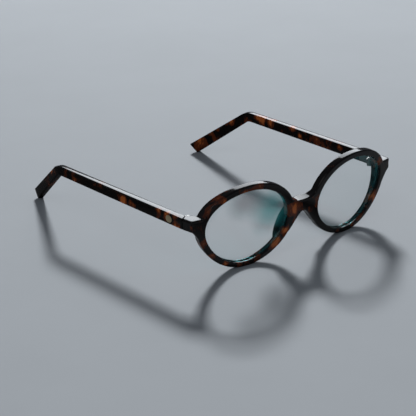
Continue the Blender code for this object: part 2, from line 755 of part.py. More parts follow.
def make_lens(name, side):
    """Make a lens with a bevelled edge that seats in the rim's groove."""
    half = LENS_EDGE / 2
    edge = -LENS_GAP
    shoulder = GROOVE_HALF_WIDTH
    profile = [(edge, GROOVE_PLACE - half), (edge, GROOVE_PLACE - shoulder)]
    profile += [(GROOVE_DEPTH - 2 * LENS_GAP, GROOVE_PLACE)]
    profile += [(edge, GROOVE_PLACE + shoulder), (edge, GROOVE_PLACE + half)]
    rings = []
    for ring in range(1, LENS_RINGS + 1):
        rings.append(lens_ring(side, ring / LENS_RINGS, GROOVE_PLACE - half, LENS_FRONT_SAG, edge))
    for out, back in profile[1:4]:
        rings.append([bend(*on_eye(side, angle, out, back)) for angle in eye_angles()])
    for ring in range(LENS_RINGS, 0, -1):
        rings.append(lens_ring(side, ring / LENS_RINGS, GROOVE_PLACE + half, LENS_BACK_SAG, edge))
    bm = loft(rings)
    bmesh.ops.poke(bm, faces=[face for face in bm.faces if len(face.verts) > 4])
    for vert in bm.verts:
        if len(vert.link_faces) == EYE_STEPS:
            place = unbend(*vert.co)
            front_side = place.z < GROOVE_PLACE
            sag = LENS_FRONT_SAG if front_side else LENS_BACK_SAG
            place.z = GROOVE_PLACE - (half if front_side else -half) - sag
            vert.co = bend(*place)
    finish(bm, "lens_" + name, "lens")


def lens_ring(side, share, back, sag, edge):
    """Return a ring of a lens face. The face bulges forward towards its middle."""
    ring = []
    middle = Vector((side * LENS_SPACING / 2, EYE_HEIGHT_PLACE, 0))
    for angle in eye_angles():
        rim = on_eye(side, angle, edge, 0)
        place = middle + (rim - middle) * share
        place.z = back - sag * (1 - share ** 2)
        ring.append(bend(*place))
    return ring


def make_pad(name, side):
    """Make a nose pad: half a long rounded lug, seated on the flat back of the rim."""
    root = on_eye(side, PAD_ANGLE, PAD_INSET, RIM_DEPTH)
    step = pi / EYE_STEPS
    along = on_eye(side, PAD_ANGLE + step, 0, 0) - on_eye(side, PAD_ANGLE - step, 0, 0)
    along.normalize()
    back = Vector((0, 0, 1))
    across = along.cross(back)
    if across.x * side < 0:
        across = -across
    back = back + across * tan(PAD_SPLAY)
    sizes = (across * PAD_THICKNESS / 2, back * PAD_PROJECTION, along * PAD_LENGTH / 2)
    frame = Matrix(sizes).transposed()
    bm = bmesh.new()
    bmesh.ops.create_uvsphere(bm, u_segments=PAD_SIDES, v_segments=PAD_LEVELS, radius=1.0)
    for vert in bm.verts:
        vert.co = root + frame @ vert.co
    seat = Vector((0, 0, RIM_DEPTH + PAD_GAP))
    everything = bm.verts[:] + bm.edges[:] + bm.faces[:]
    bmesh.ops.bisect_plane(bm, geom=everything, plane_co=seat, plane_no=(0, 0, 1), clear_inner=True)
    bmesh.ops.holes_fill(bm, edges=[edge for edge in bm.edges if edge.is_boundary])
    for vert in bm.verts:
        vert.co = bend(*vert.co)
    finish(bm, "nose_pad_" + name, "acetate")


def make_pivot(name, side):
    """Return the empty that a temple turns on."""
    pivot = bpy.data.objects.new(f"temple_{name}_pivot", None)
    bpy.context.collection.objects.link(pivot)
    pivot.location = (side * HINGE_X, HINGE_Y - MIDDLE_Y, HINGE_HEIGHT)
    return pivot


def main():
    clear_scene()
    make_front()
    for name, side in SIDES.items():
        pivot = make_pivot(name, side)
        bpy.context.view_layer.update()
        make_lens(name, side)
        make_pad(name, side)
        make_front_leaf(name, side)
        make_screw(name, side)
        make_temple_leaf(name, side, pivot)
        make_temple(name, side, pivot)


main()
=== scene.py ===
"""Looks of a pair of reading glasses: tortoiseshell acetate, coated lenses and small metal parts.

The front, the temples, the inlays, the lenses and the nose pads are modelled again here over their
CAD parts, with more steps and softer edges, so that polished acetate reflects cleanly. The bridge,
the ear bends and the inlays follow the photographed ones a little more closely than the CAD does.
Hinge leaves and screws are the CAD meshes with soft edges.

Lengths are in metres. The wearer looks along -Y, and the wearer's left is +X.
"""

from functools import reduce
from math import asin, atan2, cos, hypot, pi, radians, sin, tan

import bmesh
import bpy
from bpy.props import FloatProperty, FloatVectorProperty, IntProperty, PointerProperty
from mathutils import Matrix, Vector


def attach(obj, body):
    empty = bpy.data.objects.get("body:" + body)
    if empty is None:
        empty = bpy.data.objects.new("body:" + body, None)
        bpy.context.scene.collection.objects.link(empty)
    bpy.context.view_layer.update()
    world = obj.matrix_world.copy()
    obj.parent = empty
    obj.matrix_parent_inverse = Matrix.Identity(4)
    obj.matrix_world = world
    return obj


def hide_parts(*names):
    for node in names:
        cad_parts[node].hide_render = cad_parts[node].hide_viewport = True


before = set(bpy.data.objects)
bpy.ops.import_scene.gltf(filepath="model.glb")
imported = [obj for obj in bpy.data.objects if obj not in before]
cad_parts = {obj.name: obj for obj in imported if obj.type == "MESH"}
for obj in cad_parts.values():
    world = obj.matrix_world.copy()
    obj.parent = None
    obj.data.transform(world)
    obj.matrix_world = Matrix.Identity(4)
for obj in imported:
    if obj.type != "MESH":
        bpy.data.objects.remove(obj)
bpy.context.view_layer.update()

bl_info = {
    "name": "Reading glasses",
    "version": (1, 0, 0),
    "blender": (4, 5, 0),
    "location": "View3D > Sidebar > Glasses",
    "description": "Builds tortoiseshell reading glasses around their CAD frame",
    "category": "Add Mesh",
}

SIDES = {"left": 1, "right": -1}

# Lens opening, in the flat front. The shares bend an oval into its outline.
EYE_WIDTH = 0.0480
EYE_HEIGHT = 0.0379
EYE_LEAN_SHARE = -0.009
EYE_CROWN_SHARE = 0.0243
EYE_CORNER_SHARE = 0.0061
EYE_TURN_SHARE = -0.0082
EYE_TANGENT_STEP = 0.02
NOSE_GAP = 0.0202
ENDPIECE_OUT = 0.0084
LENS_SPACING = EYE_WIDTH + NOSE_GAP
HALF_WIDTH = LENS_SPACING / 2 + EYE_WIDTH / 2 + ENDPIECE_OUT

# How the flat front is bent and set down
CURVE_RADIUS = 0.2990
LEAN = radians(7.0)
SETTLE = 0.000421
MIDDLE_Y = 0.074760

# Rim and its groove. The CAD rim's steps set how high the openings lie.
RIM_WIDTH = 0.0034
RIM_SIDE_SWELL = 0.0005
RIM_NOSE_SWELL = 0.0002
RIM_TOP_SWELL = 0.0003
RIM_DEPTH = 0.0041
TEMPLE_SIDE_SWELL = 0.0020
TEMPLE_SIDE_ANGLE = radians(162.0)
GROOVE_PLACE = 0.0020
GROOVE_DEPTH = 0.0007
GROOVE_HALF = 0.00065
RIM_CAD_STEPS = 84
RIM_LIP_STEPS = 3
RIM_EDGE_STEPS = 6
POLISH_FACTOR = 0.5

# Bridge
BRIDGE_TOP = 0.0056
BRIDGE_TOP_RISE = 0.00376
BRIDGE_THICKNESS = 0.0059
BRIDGE_ARCH_DROP = 0.01056
BRIDGE_ARCH_ROUND_SHARE = 0.435
BRIDGE_END_LIFT = 0.00125
BRIDGE_HALF = 0.0092
BRIDGE_LIFT = 0.0004
BRIDGE_SWELL = 0.0017
BRIDGE_EDGE = 0.00045
BRIDGE_STEPS = 48
SECTION_EDGE_STEPS = 5

# Endpieces and seams
ENDPIECE_RISE = 0.0058
ENDPIECE_HEIGHT = 0.0060
ENDPIECE_CORNER = 0.0020
ENDPIECE_THICKNESS = 0.0041
ENDPIECE_RUN = 0.0059
ENDPIECE_ROOT = 0.0071
ENDPIECE_EDGE = 0.0008
ENDPIECE_EDGE_STEPS = 6
ENDPIECE_CORNER_STEPS = 10
BACK_RUN = 0.0027
BACK_EDGE = 0.0007
MITRE_RUN = 0.0024
MITRE_SLOPE = MITRE_RUN / ENDPIECE_THICKNESS
SEAM_GAP = 0.00015
FLARE_DROP = 0.0058
FLARE_REACH = 0.0051
FLARE_POWER = 1.5
FLARE_STEPS = 20

# Hinge pockets
HINGE_BACK = 0.0007
HINGE_DROP = 0.00035
HINGE_INSET = 0.0018
STACK_HALF = 0.00192
LEAF_THICKNESS = 0.0009
LEAF_LENGTH = 0.0095
LEAF_FRONT_LENGTH = 0.0032
LEAF_WEB = 0.0015
LEAF_GAP = 0.00012
OVERRUN = 0.0010

# Nose pads
PAD_ANGLE = radians(-16.4)
PAD_INSET = 0.00055
PAD_THICKNESS = 0.0026
PAD_LENGTH = 0.0204
PAD_PROJECTION = 0.0035
PAD_SPLAY = radians(6.0)
PAD_GAP = 0.0002
PAD_TANGENT_STEP = 0.04
PAD_STEPS_ROUND = 64
PAD_STEPS_ALONG = 44

# Lenses
LENS_EDGE = 0.0021
LENS_FRONT_SAG = 0.0013
LENS_BACK_SAG = 0.0009
LENS_GAP = 0.00015
LENS_RINGS = 14
LENS_STEPS = 160
LENS_CORE_SHARE = 0.012

# Temples
TEMPLE_LENGTH = 0.1480
TEMPLE_RUN = 0.14819
TEMPLE_BEND = 0.1019
TEMPLE_FRONT_SIZE = Vector((0.0057, 0.0041))
TEMPLE_BEND_SIZE = Vector((0.0051, 0.0034))
TEMPLE_TIP_SIZE = Vector((0.0064, 0.0031))
TEMPLE_FALL = radians(0.1)
TEMPLE_INNER_EDGE = 0.00045
TEMPLE_MITRE_EDGE = 0.00015
TEMPLE_TIP_EDGE = 0.0005
TEMPLE_OUTER_STEPS = 5
TEMPLE_INNER_STEPS = 4
TEMPLE_STEPS = 12

# Ear ends: each bends along a bow and ends in a slanted tip
EAR_RADIUS = 0.0130
EAR_DROP = radians(34.29)
EAR_TURN = radians(15.37)
EAR_BOW = EAR_RADIUS * (EAR_DROP - TEMPLE_FALL)
EAR_START = TEMPLE_BEND - EAR_RADIUS * tan((EAR_DROP - TEMPLE_FALL) / 2)
EAR_SLICES = 16
EAR_BOW_STEPS = 20
EAR_STEPS = 6
TIP_SLANT = radians(16.0)
TIP_STEPS = 4

# Inlays
INLAY_PLACE = 0.0073
INLAY_SIZE = Vector((0.0044, 0.0037))
INLAY_DEPTH = 0.00055
INLAY_PROUD = 0.00015
INLAY_EDGE = 0.00010
INLAY_EDGE_SHARE = 0.3
INLAY_LINE_PLACE = 0.00036
INLAY_LINE_WIDTH = 0.00020
INLAY_LINE_SLOPE = 0.00006
INLAY_LINE_DEPTH = 0.00008
INLAY_FIELD = 0.00090
INLAY_STEPS = 64

# Hinge leaves and screws
METAL_MERGE = 0.000001
METAL_FLAT = radians(1)
METAL_EDGE = 0.00003
METAL_EDGE_ANGLE = radians(35)
METAL_EDGE_STEPS = 2

# Angles between faces from which an edge is shaded sharp
LENS_SHARP = radians(25)
TEMPLE_SHARP = radians(28)
METAL_SHARP = radians(30)
INLAY_SHARP = radians(40)
PAD_SHARP = radians(40)

# Camera, as solved from the outlines of the glasses
CAMERA_PLACE = Vector((-0.512995, -0.639683, 0.319827))
CAMERA_AZIMUTH = radians(-38.8168)
CAMERA_ELEVATION = radians(21.2794)
CAMERA_ROLL = radians(-1.4872)
CAMERA_LENS = 143.13
CAMERA_SENSOR = 36.0
CAMERA_CLIP = (0.01, 50.0)

# Acetate: the noises under its surface, how much each counts, and from where brown and amber show
CLOUD_SCALE = 95.0
CLOUD_WARP = 0.007
CLOUD_WEIGHT = 0.80
FLECK_SCALE = 210.0
FLECK_WEIGHT = 0.48
FINE_SCALE = 900.0
FINE_WEIGHT = 0.20
STREAK_STRETCH = (1.0, 1.0, 0.50)
PATTERN_DETAIL = 2.0
PATTERN_DROP = 0.25
BROWN_SPAN = (0.545, 0.66)
AMBER_SPAN = (0.68, 0.84)
PATCH_REACH = 1.5
PATCH_FULL = 0.85
PATCH_WEIGHT = 0.34

# Acetate: its polish, dulled a little by handling, and the faint ripple of its surface
ACETATE_IOR = 1.50
ACETATE_ROUGHNESS = 0.055
HANDLED_ROUGHNESS = 0.05
HANDLED_NOISE = {"scale": 210.0, "detail": 4.0, "roughness": 0.6}
RIPPLE_NOISE = {"scale": 90.0, "detail": 1.0, "roughness": 0.4}
RIPPLE_STRENGTH = 0.05
RIPPLE_DEPTH = 0.0004

# Lens coating: how much of it shows straight on, at a grazing angle and near the rim
LENS_MIDDLE = 0.0221
COAT_ALPHA = 0.045
COAT_BLEND = 0.35
COAT_GRAZING_POWER = 2.5
COAT_GRAZING_ALPHA = 0.22
COAT_RIM_SPAN = (0.86, 1.0)
COAT_RIM_ALPHA = 0.06
COAT_ROUGHNESS = 0.015
WIPED_NOISE = {"scale": 55.0, "detail": 3.0, "roughness": 0.55}
WIPED_SPAN = (0.45, 0.75)
WIPED_ROUGHNESS = 0.05

# A painted glare, a patch of brighter teal coating on one lens, and a grey patch beside it that
# dims the lens
SPOT_WARP_SCALE = 75.0
SPOT_WARP = 0.005
SPOT_SPAN = (0.0, 0.9)
# Where the painted teal glare sits on one lens, how far it reaches and how much it adds to the
# coating
PAINTED_GLARE_PLACE = (-0.0208, -0.0763, 0.0272)
PAINTED_GLARE_REACH = 0.0150
PAINTED_GLARE_ALPHA = 0.42
# A grey patch beside the painted glare, which dims the lens
GREY_PATCH_PLACE = (-0.0355, -0.0754, 0.0345)
GREY_PATCH_REACH = 0.0130
GREY_PATCH_ALPHA = 0.28
GREY_PATCH_COLOUR = (0.42, 0.41, 0.43)

# Metals
METAL_DETAIL = 3.0
METAL_CONTRAST = 0.6
METAL_DENT = 0.00003
METAL_ROUGHENING = 0.16

# Floor. Reflections show it dimmer, and dimmest behind the front, so that the acetate stays dark.
FLOOR_HALF = 6.0
FLOOR_CELLS = 4
FLOOR_NOISE = {"scale": 14.0, "detail": 4.0, "roughness": 0.6}
FLOOR_TONE_SHARES = (0.96, 1.04)
FLOOR_DIM_SHARES = (0.45, 0.06)
FLOOR_DIM_SPAN = (-0.06, 0.04)
FLOOR_ROUGHNESS = 0.8
FLOOR_SPECULAR = 0.1

# World and lamps. The softboxes show in reflections only, as one glow that fades outwards.
SKY_COLOUR = (0.80, 0.88, 1.0, 1.0)
SKY_STRENGTH = 0.085
LAMP_TARGET = (0, 0, 0.02)
KEY_WAY = Vector((0.55, 0.69, 0.47)).normalized()
KEY_DISTANCE = 4.0
KEY_WIDTH = 0.50
KEY_POWER = 180.0
FILL_PLACE = (-1.3, -0.9, 1.6)
FILL_TARGET = (0, 0, 0)
FILL_WIDTH = 1.2
FILL_POWER = 3.0
SOFTBOX_AZIMUTH = radians(135.0)
SOFTBOX_ELEVATION = radians(33.0)
SOFTBOX_DISTANCE = 1.6
SOFTBOX_COLOUR = (0.90, 0.95, 1.0)
SOFTBOXES = (
    ("wide", radians(17.5), 3.6),
    ("middle", radians(14.5), 5.0),
    ("narrow", radians(11.0), 8.0),
)


def length(name, description, default):
    return FloatProperty(name=name, description=description, default=default, unit="LENGTH")


def colour(name, description, *default):
    return FloatVectorProperty(name=name, description=description, subtype="COLOR", default=default)


class GlassesShape(bpy.types.PropertyGroup):
    rim_edge: length("Rim edge", "Radius of the rims' outer edges", 0.00070)
    rim_lip: length("Rim lip", "Size of the soft edge round a lens opening", 0.00040)
    temple_edge: length("Temple edge", "Radius of a temple's outer edges", 0.00068)
    grain: length("Grain", "Spacing of the front's mesh", 0.00028)
    rim_steps: IntProperty(name="Rim steps", description="Steps round a lens opening", default=240)
    polish: IntProperty(name="Polish", description="Rounds of smoothing on the front", default=6)


class GlassesColours(bpy.types.PropertyGroup):
    dark: colour("Dark", "Darkest colour of the acetate", 0.0050, 0.0024, 0.0018)
    brown: colour("Brown", "Reddish brown of the acetate", 0.120, 0.024, 0.0055)
    amber: colour("Amber", "Brightest colour of the acetate", 0.55, 0.135, 0.026)
    coat: colour("Coat", "Colour that the lens coating reflects", 0.06, 0.66, 0.70)
    # The teal of the glare that is painted on one lens
    painted_glare: colour("Glare", "Colour where the coating shows most", 0.12, 0.95, 0.93)
    steel: colour("Steel", "Colour of the hinges", 0.46, 0.45, 0.43)
    gold: colour("Gold", "Colour of the inlays", 0.80, 0.64, 0.40)
    floor: colour("Floor", "Colour of the floor", 0.53, 0.57, 0.61)


def shape():
    return bpy.context.scene.glasses_shape


def colours():
    return bpy.context.scene.glasses_colours


class Socket:
    """A value in a shader, so that its maths can be written as plain expressions."""

    def __init__(self, tree, socket):
        self.tree = tree
        self.socket = socket

    def math(self, operation, *others):
        return make(self.tree, "ShaderNodeMath", [self, *others], operation=operation)

    def __add__(self, other):
        return self.math("ADD", other)

    __radd__ = __add__

    def __mul__(self, other):
        return self.math("MULTIPLY", other)

    def __sub__(self, other):
        return self.math("SUBTRACT", other)

    def __rsub__(self, other):
        return make(self.tree, "ShaderNodeMath", [other, self], operation="SUBTRACT")

    def __truediv__(self, other):
        return self.math("DIVIDE", other)

    def __pow__(self, other):
        return self.math("POWER", other)

    def absolute(self):
        return self.math("ABSOLUTE")

    def top(self, other):
        return self.math("MAXIMUM", other)


def feed(node, values):
    """Link or set a node's inputs. Values are a list, or a dict by the input's name or number."""
    for key, value in values.items() if isinstance(values, dict) else enumerate(values):
        if isinstance(value, Socket):
            value.tree.links.new(value.socket, node.inputs[key])
        else:
            node.inputs[key].default_value = value


def make(tree, kind, values=(), output=0, **settings):
    """Add a node, set it up, and return the socket it gives."""
    node = tree.nodes.new(kind)
    for name, value in settings.items():
        setattr(node, name, value)
    feed(node, values)
    return Socket(tree, node.outputs[output])


def span(value, low, high):
    """Return 0 below the low value and 1 above the high one, with a soft step between."""
    values = {"Value": value, "From Min": low, "From Max": high}
    return make(value.tree, "ShaderNodeMapRange", values, interpolation_type="SMOOTHSTEP")


def noise(place, scale, detail, roughness=0.5, output=0):
    values = {"Vector": place, "Scale": scale, "Detail": detail, "Roughness": roughness}
    return make(place.tree, "ShaderNodeTexNoise", values, output=output)


def blend(mask, first, second):
    """Mix two colours, given as sockets or as plain values.

    A Mix node has several sockets of one name, so its colours go by their numbers.
    """
    first, second = [end if isinstance(end, Socket) else (*end, 1.0) for end in (first, second)]
    values = {"Factor": mask, 6: first, 7: second}
    return make(mask.tree, "ShaderNodeMix", values, output=2, data_type="RGBA")


def bump(height, strength, depth):
    values = {"Strength": strength, "Distance": depth, "Height": height}
    return make(height.tree, "ShaderNodeBump", values)


def coordinate(place, axis):
    return make(place.tree, "ShaderNodeSeparateXYZ", {"Vector": place}, output=axis)


def shift(place, offset):
    return make(place.tree, "ShaderNodeVectorMath", [place, offset], operation="ADD")


def stretch(place, scale, offset=(0.0, 0.0, 0.0)):
    values = {"Vector": place, "Location": offset, "Scale": scale}
    return make(place.tree, "ShaderNodeMapping", values)


def warped(place, scale, reach):
    """Return a place that wanders by up to half the reach to each side."""
    wave = shift(noise(place, scale, PATTERN_DETAIL, output="Color"), (-0.5, -0.5, -0.5))
    wave = make(place.tree, "ShaderNodeVectorMath", {0: wave, "Scale": reach}, operation="SCALE")
    return shift(place, wave)


def patch(place, centre, size):
    """Return 1 at a place on the glasses, falling to 0 at a distance from it."""
    ends = [place, centre]
    away = make(place.tree, "ShaderNodeVectorMath", ends, output="Value", operation="DISTANCE")
    return (1.0 - away / size).top(0.0)


def start_material(name):
    """Return a new material, its shader, and its Object coordinates."""
    material = bpy.data.materials.new(name)
    material.use_nodes = True
    tree = material.node_tree
    place = make(tree, "ShaderNodeTexCoord", output="Object")
    return material, tree.nodes["Principled BSDF"], place


def tortoiseshell(name, patches, offset):
    """Polished acetate: near-black brown, with clouds of red-brown and amber under the surface."""
    _, shader, place = start_material(name)
    wavy = warped(place, CLOUD_SCALE, CLOUD_WARP)
    streaked = stretch(wavy, STREAK_STRETCH, offset)
    depth = noise(shift(wavy, offset), CLOUD_SCALE, PATTERN_DETAIL) * CLOUD_WEIGHT
    depth += noise(streaked, FLECK_SCALE, PATTERN_DETAIL) * FLECK_WEIGHT
    depth += noise(streaked, FINE_SCALE, PATTERN_DETAIL) * FINE_WEIGHT
    spots = [patch(wavy, centre, size * PATCH_REACH) * strength
             for centre, size, strength in patches]
    depth += span(reduce(Socket.top, spots), 0.0, PATCH_FULL) * PATCH_WEIGHT - PATTERN_DROP
    shade = blend(span(depth, *BROWN_SPAN), colours().dark, colours().brown)
    feed(shader, {
        "Base Color": blend(span(depth, *AMBER_SPAN), shade, colours().amber),
        "Roughness": ACETATE_ROUGHNESS + noise(place, **HANDLED_NOISE) * HANDLED_ROUGHNESS,
        "IOR": ACETATE_IOR,
        "Normal": bump(noise(place, **RIPPLE_NOISE), RIPPLE_STRENGTH, RIPPLE_DEPTH),
    })


def coated_lens():
    """Clear lens: it lets nearly all light through and reflects a little in the coating's colour.

    The coating shows more near the rim. One lens has a painted glare in teal, and a grey patch
    beside it.
    """
    _, shader, place = start_material("coated_lens")
    grazing = make(place.tree, "ShaderNodeLayerWeight", {"Blend": COAT_BLEND}, output="Facing")
    out = (coordinate(place, "X").absolute() - LENS_SPACING / 2) / (EYE_WIDTH / 2)
    rise = (coordinate(place, "Z") - LENS_MIDDLE) / (EYE_HEIGHT / 2)
    rim = span((out * out + rise * rise) ** 0.5, *COAT_RIM_SPAN)
    uneven = warped(place, SPOT_WARP_SCALE, SPOT_WARP)
    # A painted glare: a patch on one lens where the coating is stronger and a brighter teal
    painted_glare = span(patch(uneven, PAINTED_GLARE_PLACE, PAINTED_GLARE_REACH), *SPOT_SPAN)
    # A grey patch beside the glare, which dims the lens
    grey_patch = span(patch(uneven, GREY_PATCH_PLACE, GREY_PATCH_REACH), *SPOT_SPAN)
    alpha = COAT_ALPHA + grazing ** COAT_GRAZING_POWER * COAT_GRAZING_ALPHA + rim * COAT_RIM_ALPHA
    wiped = span(noise(place, **WIPED_NOISE), *WIPED_SPAN)
    feed(shader, {
        "Base Color": blend(grey_patch, blend(painted_glare, colours().coat, colours().painted_glare), GREY_PATCH_COLOUR),
        "Metallic": 1.0,
        "Roughness": COAT_ROUGHNESS + wiped * WIPED_ROUGHNESS,
        "Alpha": alpha + painted_glare * PAINTED_GLARE_ALPHA + grey_patch * GREY_PATCH_ALPHA,
    })


def grained_metal(name, bright, dark_share, scale, along, metallic, roughness, strength):
    """Metal with a fine grain, drawn out along Z, that darkens, roughens and dents it a little."""
    _, shader, place = start_material(name)
    grain = noise(stretch(place, (1.0, 1.0, along)), scale, METAL_DETAIL, METAL_CONTRAST)
    feed(shader, {
        "Base Color": blend(grain, [dark_share * value for value in bright], bright),
        "Metallic": metallic,
        "Roughness": roughness + grain * METAL_ROUGHENING,
        "Normal": bump(grain, strength, METAL_DENT),
    })


def eye_point(angle):
    """Return a point of the lens opening from its middle. Angle 0 is the nose side."""
    reach = 1 + EYE_LEAN_SHARE * sin(2 * angle) + EYE_CROWN_SHARE * sin(3 * angle)
    reach += EYE_CORNER_SHARE * cos(4 * angle) + EYE_TURN_SHARE * sin(4 * angle)
    return Vector((EYE_WIDTH / 2 * cos(angle) * reach, EYE_HEIGHT / 2 * sin(angle) * reach))


def eye_offset(angle, out):
    """Return the point at a distance out from the edge of the lens opening."""
    along = eye_point(angle + EYE_TANGENT_STEP) - eye_point(angle - EYE_TANGENT_STEP)
    return eye_point(angle) + Vector((along.y, -along.x)).normalized() * out


def rim_width(angle):
    width = RIM_WIDTH + RIM_SIDE_SWELL * cos(2 * angle)
    return width + RIM_NOSE_SWELL * cos(angle) + RIM_TOP_SWELL * sin(angle)


RIM_CAD_ANGLES = [2 * pi * step / RIM_CAD_STEPS for step in range(RIM_CAD_STEPS)]
EYE_HEIGHT_PLACE = -min(eye_offset(angle, rim_width(angle)).y for angle in RIM_CAD_ANGLES)


def bend(place):
    """Move a place of the flat front, given as across, up and back, to its place in the glasses."""
    turn = place[0] / CURVE_RADIUS
    reach = CURVE_RADIUS - place[2]
    back = CURVE_RADIUS - reach * cos(turn)
    y = back * cos(LEAN) - place[1] * sin(LEAN)
    z = back * sin(LEAN) + place[1] * cos(LEAN)
    return Vector((reach * sin(turn), y, z - SETTLE))


def unbend(x, y, z):
    """Return the flat place that bend moves to a place in the glasses."""
    z = z + SETTLE
    back = y * cos(LEAN) + z * sin(LEAN)
    up = z * cos(LEAN) - y * sin(LEAN)
    reach = hypot(x, CURVE_RADIUS - back)
    return Vector((atan2(x, CURVE_RADIUS - back) * CURVE_RADIUS, up, CURVE_RADIUS - reach))


CORNER_ACROSS = CURVE_RADIUS * asin(HALF_WIDTH / CURVE_RADIUS)
CORNER = bend((CORNER_ACROSS, EYE_HEIGHT_PLACE + ENDPIECE_RISE, 0))
BAR_HEIGHT = CORNER.z
ENDPIECE_REACH = CORNER.y + ENDPIECE_RUN
HINGE_HEIGHT = BAR_HEIGHT - HINGE_DROP
HINGE_X = HALF_WIDTH - ENDPIECE_THICKNESS - HINGE_INSET
HINGE_Y = ENDPIECE_REACH + MITRE_RUN + HINGE_BACK


def on_eye(side, angle, out, back):
    """Return the flat place at a distance out from a lens opening and back from the front face."""
    place = eye_offset(angle, out)
    return Vector((side * (LENS_SPACING / 2 - place.x), EYE_HEIGHT_PLACE + place.y, back))


def arc(centre, radius, start, end, steps):
    turns = [start + (end - start) * step / steps for step in range(steps + 1)]
    return [(centre[0] + radius * cos(turn), centre[1] + radius * sin(turn)) for turn in turns]


def sweep(bm, rings, closed=False):
    """Draw a skin through rings of points, each next one extruded from the one before."""
    verts = [bm.verts.new(point) for point in rings[0]]
    edges = [bm.edges.new((verts[index - 1], verts[index])) for index in range(len(verts))]
    first = list(edges)
    if not closed:
        bmesh.ops.contextual_create(bm, geom=edges)
    for ring in rings[1:]:
        made = bmesh.ops.extrude_edge_only(bm, edges=edges)["geom"]
        fresh = {item for item in made if isinstance(item, bmesh.types.BMVert)}
        ends = [[edge.other_vert(vert) for edge in vert.link_edges] for vert in verts]
        verts = [next(end for end in group if end in fresh) for group in ends]
        for vert, point in zip(verts, ring):
            vert.co = point
        edges = [item for item in made if isinstance(item, bmesh.types.BMEdge)
                 and item.verts[0] in fresh and item.verts[1] in fresh]
    if closed:
        bmesh.ops.bridge_loops(bm, edges=edges + first)
    else:
        bmesh.ops.contextual_create(bm, geom=edges)
    return bm


def mirrored(points, side):
    return [Vector((side * point[0], point[1], point[2])) for point in points]


def to_object(bm, name, material=None, angle=None):
    """Turn a bmesh into a smooth object with its faces outwards."""
    bmesh.ops.recalc_face_normals(bm, faces=bm.faces)
    mesh = bpy.data.meshes.new(name)
    bm.to_mesh(mesh)
    bm.free()
    mesh.shade_smooth()
    if angle:
        mesh.set_sharp_from_angle(angle=angle)
    if material:
        mesh.materials.append(material)
    piece = bpy.data.objects.new(name, mesh)
    bpy.context.scene.collection.objects.link(piece)
    return piece


def settle(bm):
    """Move a finished shape so that the origin lies under the middle of the glasses."""
    bmesh.ops.translate(bm, verts=bm.verts, vec=(0, -MIDDLE_Y, 0))
    return bm


def applied(piece):
    """Give a piece the mesh that its modifiers make, and remove them."""
    graph = bpy.context.evaluated_depsgraph_get()
    mesh = bpy.data.meshes.new_from_object(piece.evaluated_get(graph))
    old = piece.data
    piece.modifiers.clear()
    piece.data = mesh
    bpy.data.meshes.remove(old)
    return piece


def cut(piece, cutters):
    """Take shapes out of a piece."""
    for cutter in cutters:
        modifier = piece.modifiers.new(cutter.name, "BOOLEAN")
        modifier.operation = "DIFFERENCE"
        modifier.solver = "EXACT"
        modifier.object = cutter
    bpy.context.view_layer.update()
    applied(piece)
    for cutter in cutters:
        bpy.data.objects.remove(cutter, do_unlink=True)
    return piece


def carried(piece, body, slot, *nodes):
    """Let a piece ride on its body in place of its CAD nodes."""
    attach(piece, body)
    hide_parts(*nodes)
    return piece


def prism(plan, low, high, name):
    """Return an upright block on a plan outline."""
    bm = bmesh.new()
    sweep(bm, [[(x, y, low) for x, y in plan], [(x, y, high) for x, y in plan]])
    return to_object(settle(bm), name)


def rim_section(width, depth):
    """Return a rim's section as (out, back) points, with soft edges and the groove for the lens."""
    edge = shape().rim_edge
    lip = shape().rim_lip
    points = arc((lip, lip), lip, pi, 1.5 * pi, RIM_LIP_STEPS)
    points += arc((width - edge, edge), edge, -pi / 2, 0, RIM_EDGE_STEPS)
    points += arc((width - edge, depth - edge), edge, 0, pi / 2, RIM_EDGE_STEPS)
    points += arc((lip, depth - lip), lip, pi / 2, pi, RIM_LIP_STEPS)
    points += [(0, GROOVE_PLACE + GROOVE_HALF), (GROOVE_DEPTH, GROOVE_PLACE)]
    points += [(0, GROOVE_PLACE - GROOVE_HALF)]
    return points


def rim_skin(side):
    """Return a rim as one closed ring."""
    rings = []
    for step in range(shape().rim_steps):
        angle = 2 * pi * step / shape().rim_steps
        depth = RIM_DEPTH + TEMPLE_SIDE_SWELL * max(0.0, cos(angle - TEMPLE_SIDE_ANGLE)) ** 4
        section = rim_section(rim_width(angle), depth)
        rings.append([on_eye(side, angle, out, back) for out, back in section])
    return sweep(bmesh.new(), rings, closed=True)


def upright_section(low, high, depth, edge):
    """Return a rounded upright section as (up, back) points."""
    points = arc((low + edge, edge), edge, 1.5 * pi, pi, SECTION_EDGE_STEPS)
    points += arc((low + edge, depth - edge), edge, pi, pi / 2, SECTION_EDGE_STEPS)
    points += arc((high - edge, depth - edge), edge, pi / 2, 0, SECTION_EDGE_STEPS)
    points += arc((high - edge, edge), edge, 0, -pi / 2, SECTION_EDGE_STEPS)
    return points


def bridge_skin():
    """Return the saddle bridge, from rim to rim."""
    rings = []
    middle = EYE_HEIGHT_PLACE + BRIDGE_TOP
    soft = BRIDGE_ARCH_ROUND_SHARE
    for step in range(BRIDGE_STEPS + 1):
        share = 2 * step / BRIDGE_STEPS - 1
        arch = (hypot(share, soft) - soft) / (hypot(1, soft) - soft)
        under = middle - BRIDGE_THICKNESS - BRIDGE_ARCH_DROP * arch
        under += BRIDGE_END_LIFT * share ** 6
        top = middle + BRIDGE_LIFT + (BRIDGE_TOP_RISE - BRIDGE_LIFT) * abs(share) ** 3
        depth = RIM_DEPTH + BRIDGE_SWELL * (1 - share ** 2) ** 2
        section = upright_section(under, top, depth, BRIDGE_EDGE)
        rings.append([(BRIDGE_HALF * share, up, back) for up, back in section])
    return sweep(bmesh.new(), rings)


